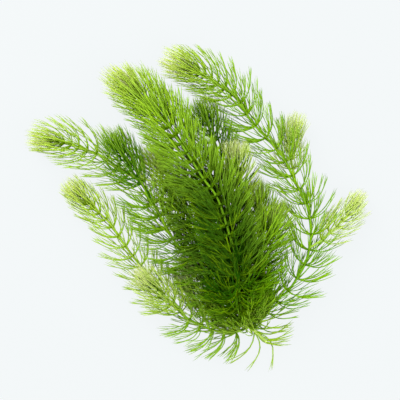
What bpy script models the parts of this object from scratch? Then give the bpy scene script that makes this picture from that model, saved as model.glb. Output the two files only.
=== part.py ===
"""A hornwort: one branching water plant, cut at its foot and laid on its side.

Each shoot is a thin stem with whorls of narrow leaves fused to it, and the plant is parted into
named pieces at its main forks. Seen from above, +Y runs from the cut foot towards the shoot tips.
"""

import math

import bmesh
import bpy
import numpy as np
from mathutils import Vector

MM = 0.001

# Driving dimensions, in millimetres and degrees.
STEM_RADIUS = 1.05
BUD_RADIUS = 0.5
TAPER_LENGTH = 30.0
BUD_LENGTH = 3.0
STUB_LENGTH = 10.5
PIECE_GAP = 0.35
STEM_SIDES = 5
LEAF_RADIUS = 0.5
BAND_HEIGHT = 1.3
SPACING_GROWTH = 0.14
BUD_ANGLE = 8.0
FULL_LEAF_AT = 9.0
LEAF_GAP = 0.12
FIRST_WHORL_CLEAR = 3.2
SAMPLE_STEP = 0.5
SPAN_SAMPLES = 40
LEAF_SHARP_ANGLE = 40.0
LEAF_TURN_SPREAD = 7.0
LEAF_LENGTH_SPREAD = (0.9, 1.05)
LEAF_OPENING_SPREAD = (0.9, 1.1)
BAR_SAMPLES = 4
STEM_BESIDE = 5.0
NEAR_MARGIN = 2.0
SEED = 7
ROUGHNESS = 0.45

# The foot of the plant, measured from the middle of the room that the whole plant takes.
FOOT = (37.8, -82.93)

# The few leaves of the lowest whorl droop from the foot at these angles from +X: three hang back
# beside the cut end, and three reach to the right.
BASAL_ANGLES = (226.0, 256.0, 288.0, -14.0, 3.0, 15.0)
BASAL_DROOP = 0.12

# Where each stem runs, in millimetres from the foot, from its base to its bud.
# "forks" is the point of the route at which the stem is parted in two pieces.
# "leaf" is the length of a grown leaf, and "youngest" the share of it that the bud's leaves have.
# "open" is the angle between a grown leaf and the stem, reached over about the length "opening".
# The whorls are "tight" apart at the bud and "spacing" apart where the stem is grown.
SHOOTS = {
    "front": {
        "pieces": ("main_stem", "front_shoot"),
        "forks": 5,
        "route": (
            (9.0, -8.5, 1.3), (2.5, -2.5, 1.6), (-2.5, 2.5, 4), (-7.5, 10.0, 9),
            (-10.0, 23.0, 17), (-10.5, 34.0, 22), (-12.5, 49.0, 27), (-17.5, 67.5, 31),
            (-25.0, 90.0, 34), (-34.5, 103.5, 35), (-48.0, 124.5, 34), (-60.5, 142.0, 31),
            (-70.5, 153.0, 27), (-81.5, 162.5, 23),
        ),
        "leaf": 29.0,
        "youngest": 0.88,
        "open": 48.0,
        "opening": 12.0,
        "tight": 2.6,
        "spacing": 7.0,
        "colour": (0.10, 0.30, 0.03),
    },
    "right": {
        "pieces": ("right_stem", "right_arch_shoot"),
        "forks": 6,
        "route": (
            (-1.0, 2.0, 3.5), (5.5, 9.0, 8), (15.0, 20.5, 12), (23.0, 27.0, 14), (29.0, 35.5, 15),
            (34.5, 45.5, 16), (37.5, 56.5, 16.5), (38.5, 68.5, 17), (37.0, 80.5, 17),
            (34.0, 91.0, 17), (28.0, 101.5, 17), (19.5, 118.5, 17), (9.5, 130.0, 17),
            (-2.0, 143.0, 17), (-13.0, 159.0, 16), (-28.0, 170.5, 14.5), (-43.0, 178.0, 13),
        ),
        "leaf": 27.0,
        "youngest": 0.95,
        "open": 47.0,
        "opening": 16.0,
        "tight": 3.0,
        "spacing": 10.6,
        "colour": (0.12, 0.34, 0.03),
    },
    "left": {
        "pieces": ("left_stem", "left_long_shoot"),
        "forks": 7,
        "route": (
            (-7.5, 10.0, 9), (-19.5, 23.0, 13), (-30.0, 34.0, 16), (-37.5, 43.0, 17.5),
            (-43.0, 50.0, 18), (-51.0, 57.0, 18), (-58.0, 68.0, 18), (-70.0, 89.5, 17),
            (-76.5, 100.5, 16), (-90.0, 109.5, 15), (-103.5, 119.0, 14), (-116.5, 124.0, 13),
            (-127.5, 128.0, 12), (-137.5, 129.5, 11.5),
        ),
        "leaf": 28.0,
        "youngest": 0.7,
        "open": 48.0,
        "opening": 22.0,
        "tight": 3.6,
        "spacing": 9.0,
        "colour": (0.11, 0.31, 0.03),
    },
    "left_inner": {
        "pieces": ("left_inner_shoot",),
        "route": (
            (-70.0, 89.5, 17), (-75.5, 99.0, 22), (-82.5, 108.5, 26), (-87.5, 117.0, 28),
            (-92.5, 124.0, 28),
        ),
        "leaf": 25.0,
        "youngest": 0.7,
        "open": 44.0,
        "opening": 16.0,
        "tight": 2.6,
        "spacing": 6.5,
        "colour": (0.05, 0.20, 0.03),
    },
    "low_left": {
        "pieces": ("low_left_stem", "low_left_shoot"),
        "forks": 4,
        "route": (
            (-2.5, 2.5, 4), (-9.5, -0.5, 5.5), (-18.0, -1.5, 7), (-30.5, 1.0, 8.5),
            (-46.5, 9.0, 10), (-52.0, 15.0, 10.5), (-62.0, 24.0, 10.5), (-70.5, 34.0, 10.5),
            (-77.0, 43.5, 10.5), (-86.5, 56.0, 11), (-92.0, 64.0, 11), (-98.5, 73.5, 11),
            (-107.0, 81.5, 11), (-118.5, 92.0, 11),
        ),
        "leaf": 24.5,
        "youngest": 0.7,
        "open": 56.0,
        "opening": 40.0,
        "tight": 3.4,
        "spacing": 8.4,
        "colour": (0.13, 0.35, 0.03),
    },
    "low_left_side": {
        "pieces": ("low_left_side_shoot",),
        "route": (
            (-46.5, 9.0, 10), (-50.5, 15.5, 15), (-57.0, 21.0, 19), (-64.0, 26.5, 21),
            (-70.5, 32.5, 21),
        ),
        "leaf": 23.0,
        "youngest": 0.8,
        "open": 42.0,
        "opening": 18.0,
        "tight": 3.0,
        "spacing": 6.0,
        "colour": (0.22, 0.48, 0.05),
    },
    "right_side": {
        "pieces": ("right_side_shoot",),
        "route": (
            (37.5, 56.5, 16.5), (45.5, 61.5, 16), (51.0, 66.5, 15.5), (56.5, 71.5, 15),
            (62.0, 77.0, 14), (66.0, 82.5, 13),
        ),
        "leaf": 22.0,
        "youngest": 0.8,
        "open": 43.0,
        "opening": 18.0,
        "tight": 4.2,
        "spacing": 9.0,
        "colour": (0.26, 0.52, 0.06),
    },
    "back_centre": {
        "pieces": ("back_centre_shoot",),
        "route": (
            (-9.0, 16.0, 13), (-12.5, 25.0, 10), (-14.0, 40.0, 9), (-14.5, 56.0, 9),
            (-15.5, 72.0, 10), (-20.5, 106.0, 11), (-28.0, 130.0, 12.5), (-33.5, 146.0, 14),
        ),
        "leaf": 26.0,
        "youngest": 0.62,
        "open": 48.0,
        "opening": 12.0,
        "tight": 2.6,
        "spacing": 7.2,
        "colour": (0.06, 0.22, 0.03),
    },
    "centre": {
        "pieces": ("centre_shoot",),
        "route": (
            (-15.5, 72.0, 10), (-12.0, 84.0, 14), (-11.5, 98.0, 18), (-12.5, 110.0, 22),
            (-13.0, 119.5, 24),
        ),
        "leaf": 23.0,
        "youngest": 0.5,
        "open": 46.0,
        "opening": 12.0,
        "tight": 2.6,
        "spacing": 7.5,
        "colour": (0.30, 0.55, 0.06),
    },
    "back_right": {
        "pieces": ("back_right_shoot",),
        "route": (
            (28.0, 101.5, 17), (27.0, 108.0, 13.5), (25.0, 117.0, 11), (24.5, 126.0, 10.5),
            (27.0, 135.0, 11),
        ),
        "leaf": 21.0,
        "youngest": 0.8,
        "open": 34.0,
        "opening": 14.0,
        "tight": 3.6,
        "spacing": 9.0,
        "colour": (0.18, 0.42, 0.05),
    },
    "right_inner": {
        "pieces": ("right_inner_shoot",),
        "route": (
            (5.5, 9.0, 8), (5.5, 28.0, 10), (5.0, 46.0, 12), (4.5, 61.0, 13), (3.5, 75.0, 14),
            (2.5, 88.0, 14.5),
        ),
        "leaf": 25.0,
        "youngest": 0.75,
        "open": 50.0,
        "opening": 14.0,
        "tight": 2.6,
        "spacing": 7.0,
        "colour": (0.12, 0.34, 0.03),
    },
    "right_centre": {
        "pieces": ("right_centre_shoot",),
        "route": ((-10.3, 28.0, 19), (-3.5, 37.5, 22), (3.0, 49.5, 24), (8.0, 61.5, 24), (12.0, 73.5, 23)),
        "leaf": 26.0,
        "youngest": 0.75,
        "open": 48.0,
        "opening": 14.0,
        "tight": 2.6,
        "spacing": 6.6,
        "colour": (0.20, 0.45, 0.05),
    },
    "left_back": {
        "pieces": ("left_back_shoot",),
        "route": (
            (-10.5, 34.0, 22), (-17.5, 44.0, 21), (-28.5, 57.5, 20.5), (-40.0, 74.0, 20.5),
            (-52.5, 94.0, 20), (-64.0, 113.0, 19),
        ),
        "leaf": 25.0,
        "youngest": 0.75,
        "open": 46.0,
        "opening": 16.0,
        "tight": 2.6,
        "spacing": 7.6,
        "colour": (0.14, 0.36, 0.04),
    },
    "small_left": {
        "pieces": ("small_left_shoot",),
        "route": ((-19.5, 23.0, 13), (-29.0, 28.5, 10), (-38.0, 35.5, 9), (-45.5, 43.0, 9)),
        "leaf": 20.0,
        "youngest": 0.7,
        "open": 46.0,
        "opening": 12.0,
        "tight": 3.0,
        "spacing": 7.0,
        "colour": (0.28, 0.52, 0.07),
    },
    "small_low": {
        "pieces": ("small_low_shoot",),
        "route": ((-30.5, 1.0, 8.5), (-34.5, 11.5, 12), (-39.5, 21.0, 13), (-45.5, 30.0, 13)),
        "leaf": 20.0,
        "youngest": 0.7,
        "open": 46.0,
        "opening": 12.0,
        "tight": 3.0,
        "spacing": 7.0,
        "colour": (0.28, 0.52, 0.07),
    },
}

# How far a leaf may give way to one that is there already: turn, opening angle, share of length.
NUDGES = [
    (turn, opening, share)
    for share in (1.0, 0.88, 0.74, 0.6)
    for opening in (0, 6, -6, 12, -12, 19, -19)
    for turn in (0, 6, -6, 12, -12)
]


def unit(vectors):
    """The same vectors with a length of one."""
    return vectors / np.linalg.norm(vectors, axis=-1, keepdims=True)


def smooth_line(points):
    """Places an even step apart along a Catmull-Rom curve through the route's points."""
    points = np.array(points, float)
    ends = 2 * points[0] - points[1], 2 * points[-1] - points[-2]
    padded = np.vstack([ends[0], points, ends[1]])
    share = np.linspace(0, 1, SPAN_SAMPLES, endpoint=False)[:, None]
    spans = []
    for before, start, end, after in zip(padded, padded[1:], padded[2:], padded[3:]):
        spans.append(
            start
            + 0.5 * share * (end - before)
            + share**2 * (before - 2.5 * start + 2 * end - 0.5 * after)
            + share**3 * (1.5 * (start - end) + 0.5 * (after - before))
        )
    dense = np.vstack(spans + [points[-1:]])
    along = np.concatenate([[0], np.cumsum(np.linalg.norm(np.diff(dense, axis=0), axis=1))])
    even = np.arange(0, along[-1], SAMPLE_STEP)
    return np.column_stack([np.interp(even, along, dense[:, axis]) for axis in range(3)])


class Stem:
    """The centre line of one stem, with a frame that is carried along it without twisting."""

    def __init__(self, shoot):
        self.tight, self.spacing = shoot["tight"], shoot["spacing"]
        self.line = smooth_line(shoot["route"])
        self.length = SAMPLE_STEP * (len(self.line) - 1)
        self.tangents = unit(np.gradient(self.line, axis=0))
        side = np.cross(self.tangents[0], (0, 0, 1))
        self.sides = [unit(side)]
        for tangent in self.tangents[1:]:
            side = self.sides[-1] - tangent * (self.sides[-1] @ tangent)
            self.sides.append(unit(side))
        self.sides = np.array(self.sides)

    def at(self, along):
        """The place, tangent, side and third direction of the frame at this distance."""
        index = int(round(np.clip(along / SAMPLE_STEP, 0, len(self.line) - 1)))
        tangent, side = self.tangents[index], self.sides[index]
        return self.line[index], tangent, side, np.cross(tangent, side)

    def radius(self, along):
        """The stem thins towards its bud."""
        share = min(1.0, (self.length - along) / TAPER_LENGTH)
        return BUD_RADIUS + (STEM_RADIUS - BUD_RADIUS) * share

    def ring(self, along, turn):
        """The corners of the stem's cross-section, turned by an angle in degrees."""
        place, _, side, third = self.at(along)
        angles = np.radians(turn + np.arange(STEM_SIDES) * 360 / STEM_SIDES)
        spread = np.outer(np.cos(angles), side) + np.outer(np.sin(angles), third)
        corners = place + self.radius(along) * spread
        corners[:, 2] = np.maximum(corners[:, 2], 0)
        return corners

    def room(self, along):
        """The spacing of the whorls at this place, close at the bud and wide where it is grown."""
        return min(self.spacing, self.tight + SPACING_GROWTH * (self.length - along))

    def whorls(self, first):
        """Distances of the whorls along the stem, down to the first."""
        places, along = [], self.length - SAMPLE_STEP
        while along > first:
            places.append(along)
            along -= self.room(along)
        return places[::-1]

    def band(self, along, turn):
        """The lower and upper ring of the band of a whorl, from which its leaves are pulled."""
        half = 0.5 * min(BAND_HEIGHT, 0.5 * self.room(along))
        return self.ring(along - half, turn), self.ring(along + half, turn)


class Crowd:
    """The stems and leaves that are in place, as straight tapered bars that a new leaf keeps off."""

    def __init__(self):
        self.starts = np.empty((0, 3))
        self.spans = np.empty((0, 3))
        self.radii = np.empty((0, 2))
        self.owners = []

    def add(self, starts, ends, radii, owners):
        """Puts bars in place. An owner is a pair: the stem's name, and how far along it."""
        self.starts = np.vstack([self.starts, starts])
        self.spans = np.vstack([self.spans, np.array(ends) - starts])
        self.radii = np.vstack([self.radii, radii])
        self.owners += owners

    def near(self, start, reach, name, along):
        """The bars within reach of a leaf's base, but for its own whorl and the stem beside it."""
        middle = self.starts + self.spans / 2
        close = np.linalg.norm(middle - start, axis=1) < reach + np.linalg.norm(self.spans, axis=1) / 2
        index = np.flatnonzero(close)
        kept = [i for i in index if not self.is_own(self.owners[i], name, along)]
        gaps = [LEAF_GAP if self.owners[i][0] == name else PIECE_GAP for i in kept]
        return self.starts[kept], self.spans[kept], self.radii[kept], np.array(gaps)

    @staticmethod
    def is_own(owner, name, along):
        """True for the leaves of this whorl, and for the stretch of stem next to it."""
        apart = abs(owner[1] - along)
        return owner[0] == name and apart < (SAMPLE_STEP if owner[2] == "leaf" else STEM_BESIDE)


def clearance(start, span, bars):
    """How far a leaf keeps off the bars: the least distance between straight lines, less radii."""
    starts, spans, radii, gaps = bars
    if not len(starts):
        return 1.0
    apart = start - starts
    own, other = span @ span, (spans * spans).sum(1)
    both, along, across = spans @ span, apart @ span, (apart * spans).sum(1)
    flat = np.maximum(own * other - both * both, 1e-9)
    here = np.clip((both * across - along * other) / flat, 0, 1)
    there = np.clip((both * here + across) / other, 0, 1)
    here = np.clip((both * there - along) / own, 0, 1)
    between = apart + here[:, None] * span - there[:, None] * spans
    thick = LEAF_RADIUS * (1 - here) + radii[:, 0] + (radii[:, 1] - radii[:, 0]) * there
    return (np.linalg.norm(between, axis=1) - thick - gaps).min()


def laid_down(base, direction, length):
    """A leaf's tip, laid along the surface where the leaf would run below it."""
    tip = base + length * direction
    if tip[2] >= 0:
        return tip
    flat = direction[:2] / max(np.linalg.norm(direction[:2]), 1e-6)
    drop = base[2] / length
    return np.array([*(base[:2] + length * flat * math.sqrt(1 - drop * drop)), 0.0])


def away_from_stem(stem, along, angle, opening):
    """The direction of a leaf: its angle around the stem, then its angle away from the bud."""
    _, tangent, side, third = stem.at(along)
    around, out = math.radians(angle), math.radians(max(BUD_ANGLE / 2, opening))
    outward = math.cos(around) * side + math.sin(around) * third
    return math.cos(out) * tangent + math.sin(out) * outward


def back_from_foot(angle, more):
    """The direction of a leaf of the lowest whorl: an angle in plan, drooping or lifted by more."""
    around = math.radians(angle)
    return unit(np.array([math.cos(around), math.sin(around), math.sin(math.radians(more)) - BASAL_DROOP]))


def basal_leaves(bases):
    """The leaves of the lowest whorl: which base each grows from, and its angle in plan."""
    outward = bases - bases.mean(0)
    angles = {}
    for angle in BASAL_ANGLES:
        around = math.radians(angle)
        towards = outward @ (math.cos(around), math.sin(around), 0)
        index = next(i for i in np.argsort(-towards) if i not in angles)
        angles[index] = angle
    return angles


def leaf_tip(aim, crowd, base, length, name, along):
    """The tip of a leaf that clears what is in place, or None where there is no room for it."""
    bars = crowd.near(base, length + NEAR_MARGIN, name, along)
    for turn, more, share in NUDGES:
        tip = laid_down(base, aim(turn, more), length * share)
        if clearance(base, tip - base, bars) > 0:
            return tip
    return None


def branch_start(stem, parents):
    """How far along its route a branch begins, so that its end keeps off the stem it grows from."""
    for step in range(len(stem.line)):
        along = step * SAMPLE_STEP
        corners = stem.ring(along, 0)
        off = np.linalg.norm(corners[:, None] - parents[None], axis=2).min()
        if off > STEM_RADIUS + PIECE_GAP:
            return along
    return 0.0


def grow_piece(name, stem, start, end, whorls, tips, colour):
    """One piece: a tube of rings, a band for each whorl, and a leaf pulled out of each band face."""
    shape = bmesh.new()
    half_turn = 180 / STEM_SIDES
    rings, bands = [stem.ring(start, half_turn * (whorls[0][0] % 2))], []
    for number, along in whorls:
        bands.append((len(rings), along))
        rings += stem.band(along, half_turn * (number % 2))
    has_bud = end >= stem.length
    if not has_bud:
        rings.append(stem.ring(end, half_turn * (whorls[-1][0] % 2)))
    corners = [[shape.verts.new(Vector(corner) * MM) for corner in ring] for ring in rings]
    shape.faces.new(corners[0][::-1])
    leaf_faces = {}
    band_rows = {row: along for row, along in bands}
    for row, (lower, upper) in enumerate(zip(corners, corners[1:])):
        for side in range(STEM_SIDES):
            after = (side + 1) % STEM_SIDES
            high = shape.faces.new((lower[side], upper[after], upper[side]))
            low = shape.faces.new((lower[side], lower[after], upper[after]))
            if row in band_rows:
                leaf_faces[band_rows[row], 2 * side] = high
                leaf_faces[band_rows[row], 2 * side + 1] = low
    if has_bud:
        place, tangent, _, _ = stem.at(stem.length)
        bud = shape.verts.new(Vector(place + BUD_LENGTH * tangent) * MM)
        for side in range(STEM_SIDES):
            shape.faces.new((corners[-1][side], corners[-1][(side + 1) % STEM_SIDES], bud))
    else:
        shape.faces.new(corners[-1])
    for key, face in leaf_faces.items():
        if key in tips:
            poked = bmesh.ops.poke(shape, faces=[face])
            poked["verts"][0].co = Vector(tips[key]) * MM
    return make_object(name, shape, colour)


def make_object(name, shape, colour):
    """A named object with its own plant green, shaded smooth along the stem."""
    bmesh.ops.translate(shape, verts=shape.verts, vec=(FOOT[0] * MM, FOOT[1] * MM, 0))
    mesh = bpy.data.meshes.new(name)
    shape.to_mesh(mesh)
    shape.free()
    mesh.shade_smooth()
    mesh.set_sharp_from_angle(angle=math.radians(LEAF_SHARP_ANGLE))
    material = bpy.data.materials.new(name + "_green")
    material.use_nodes = True
    shader = material.node_tree.nodes["Principled BSDF"]
    shader.inputs["Base Color"].default_value = (*colour, 1)
    shader.inputs["Roughness"].default_value = ROUGHNESS
    shader.inputs["Metallic"].default_value = 0.0
    mesh.materials.append(material)
    piece = bpy.data.objects.new(name, mesh)
    bpy.context.scene.collection.objects.link(piece)
    return piece


def leaf_bases(stem, along, turn):
    """Where the leaves of a whorl start: the middle of each triangle of its band."""
    lower, upper = stem.band(along, turn)
    bases = []
    for side in range(STEM_SIDES):
        after = (side + 1) % STEM_SIDES
        bases.append((lower[side] + upper[after] + upper[side]) / 3)
        bases.append((lower[side] + lower[after] + upper[after]) / 3)
    return np.array(bases)


def place_leaves(label, stem, shoot, whorls, crowd, chance):
    """Tips of the leaves of one shoot, from its bud down, keyed by the whorl and the band's face."""
    tips = {}
    half_turn = 180 / STEM_SIDES
    leaves = 2 * STEM_SIDES
    for number, along in reversed(whorls):
        from_tip = stem.length - along
        opening = BUD_ANGLE + (shoot["open"] - BUD_ANGLE) * (1 - math.exp(-from_tip / shoot["opening"]))
        share = shoot["youngest"] + (1 - shoot["youngest"]) * min(1.0, from_tip / FULL_LEAF_AT)
        turn = half_turn * (number % 2)
        bases = leaf_bases(stem, along, turn)
        basal = basal_leaves(bases) if along == STUB_LENGTH else None
        for index, base in enumerate(bases):
            if basal and index not in basal:
                continue
            length = shoot["leaf"] * share * chance.uniform(*LEAF_LENGTH_SPREAD)
            wide = opening * chance.uniform(*LEAF_OPENING_SPREAD)
            stray = chance.uniform(-LEAF_TURN_SPREAD, LEAF_TURN_SPREAD)
            angle = turn + (index + 0.5) * 360 / leaves + stray
            if basal:
                tip = leaf_tip(
                    lambda turned, more: back_from_foot(basal[index] + turned, more),
                    crowd, base, length, label, along,
                )
            else:
                tip = leaf_tip(
                    lambda turned, more: away_from_stem(stem, along, angle + turned, wide + more),
                    crowd, base, length, label, along,
                )
            if tip is None:
                continue
            tips[along, index] = tip
            crowd.add([base], [tip], [(LEAF_RADIUS, 0.0)], [(label, along, "leaf")])
    return tips


def main():
    for old in list(bpy.data.objects):
        bpy.data.objects.remove(old)
    stems = {label: Stem(shoot) for label, shoot in SHOOTS.items()}
    crowd = Crowd()
    starts = {}
    for label, stem in stems.items():
        others = np.vstack([s.line for other, s in stems.items() if other != label])
        starts[label] = 0.0 if label == "front" else branch_start(stem, others)
        line = stem.line[int(starts[label] / SAMPLE_STEP) :: BAR_SAMPLES]
        middles = starts[label] + SAMPLE_STEP * BAR_SAMPLES * (np.arange(len(line) - 1) + 0.5)
        owners = [(label, middle, "stem") for middle in middles]
        radii = np.full((len(line) - 1, 2), STEM_RADIUS)
        crowd.add(line[:-1], line[1:], radii, owners)
    chance = np.random.default_rng(SEED)
    for label, shoot in SHOOTS.items():
        stem, start = stems[label], starts[label]
        places = stem.whorls(start + FIRST_WHORL_CLEAR)
        if label == "front":
            places = [STUB_LENGTH] + stem.whorls(STUB_LENGTH + FIRST_WHORL_CLEAR)
        whorls = list(enumerate(places))
        tips = place_leaves(label, stem, shoot, whorls, crowd, chance)
        if len(shoot["pieces"]) == 1:
            grow_piece(shoot["pieces"][0], stem, start, stem.length, whorls, tips, shoot["colour"])
            continue
        fork = np.array(shoot["route"][shoot["forks"]])
        fork_at = SAMPLE_STEP * np.linalg.norm(stem.line - fork, axis=1).argmin()
        last = max(i for i, along in whorls if along < fork_at + stem.spacing / 2)
        cut = (places[last] + places[last + 1]) / 2
        lower, upper = shoot["pieces"]
        grow_piece(lower, stem, start, cut, whorls[: last + 1], tips, shoot["colour"])
        grow_piece(upper, stem, cut + PIECE_GAP, stem.length, whorls[last + 1 :], tips, shoot["colour"])


main()
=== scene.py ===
import bpy
import numpy as np
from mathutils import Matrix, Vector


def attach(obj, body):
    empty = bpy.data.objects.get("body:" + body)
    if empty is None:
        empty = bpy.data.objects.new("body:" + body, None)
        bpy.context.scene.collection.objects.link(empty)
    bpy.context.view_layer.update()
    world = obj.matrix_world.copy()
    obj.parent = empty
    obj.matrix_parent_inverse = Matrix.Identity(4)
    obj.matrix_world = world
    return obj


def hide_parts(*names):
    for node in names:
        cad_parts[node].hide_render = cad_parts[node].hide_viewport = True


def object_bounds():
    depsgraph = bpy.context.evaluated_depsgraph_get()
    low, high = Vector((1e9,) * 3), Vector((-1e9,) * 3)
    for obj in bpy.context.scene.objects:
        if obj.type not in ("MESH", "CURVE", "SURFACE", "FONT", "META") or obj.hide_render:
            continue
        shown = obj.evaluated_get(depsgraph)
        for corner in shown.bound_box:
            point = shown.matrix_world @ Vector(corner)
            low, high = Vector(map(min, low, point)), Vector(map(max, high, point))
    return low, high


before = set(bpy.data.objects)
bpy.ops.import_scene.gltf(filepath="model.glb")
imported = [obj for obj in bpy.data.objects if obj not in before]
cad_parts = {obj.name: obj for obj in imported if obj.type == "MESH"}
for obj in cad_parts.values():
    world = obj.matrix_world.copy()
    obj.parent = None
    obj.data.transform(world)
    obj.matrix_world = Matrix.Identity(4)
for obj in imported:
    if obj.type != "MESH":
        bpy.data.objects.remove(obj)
cadBox = [list(corner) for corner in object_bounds()]
print("frame loaded:", len(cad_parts), "nodes")

mm = 0.001

# The foot is where all stems meet. Lengths are in millimetres.
plant = {
    "foot": (37.8, -82.93),
    "step": 0.5,  # between two points of a stem's middle line
    "pointsPerSpan": 40,  # worked out between two points of a stem's route
    "shortestSpike": 5.0,  # a shorter spike of the CAD is no leaf
    "seed": 11,
}

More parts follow.
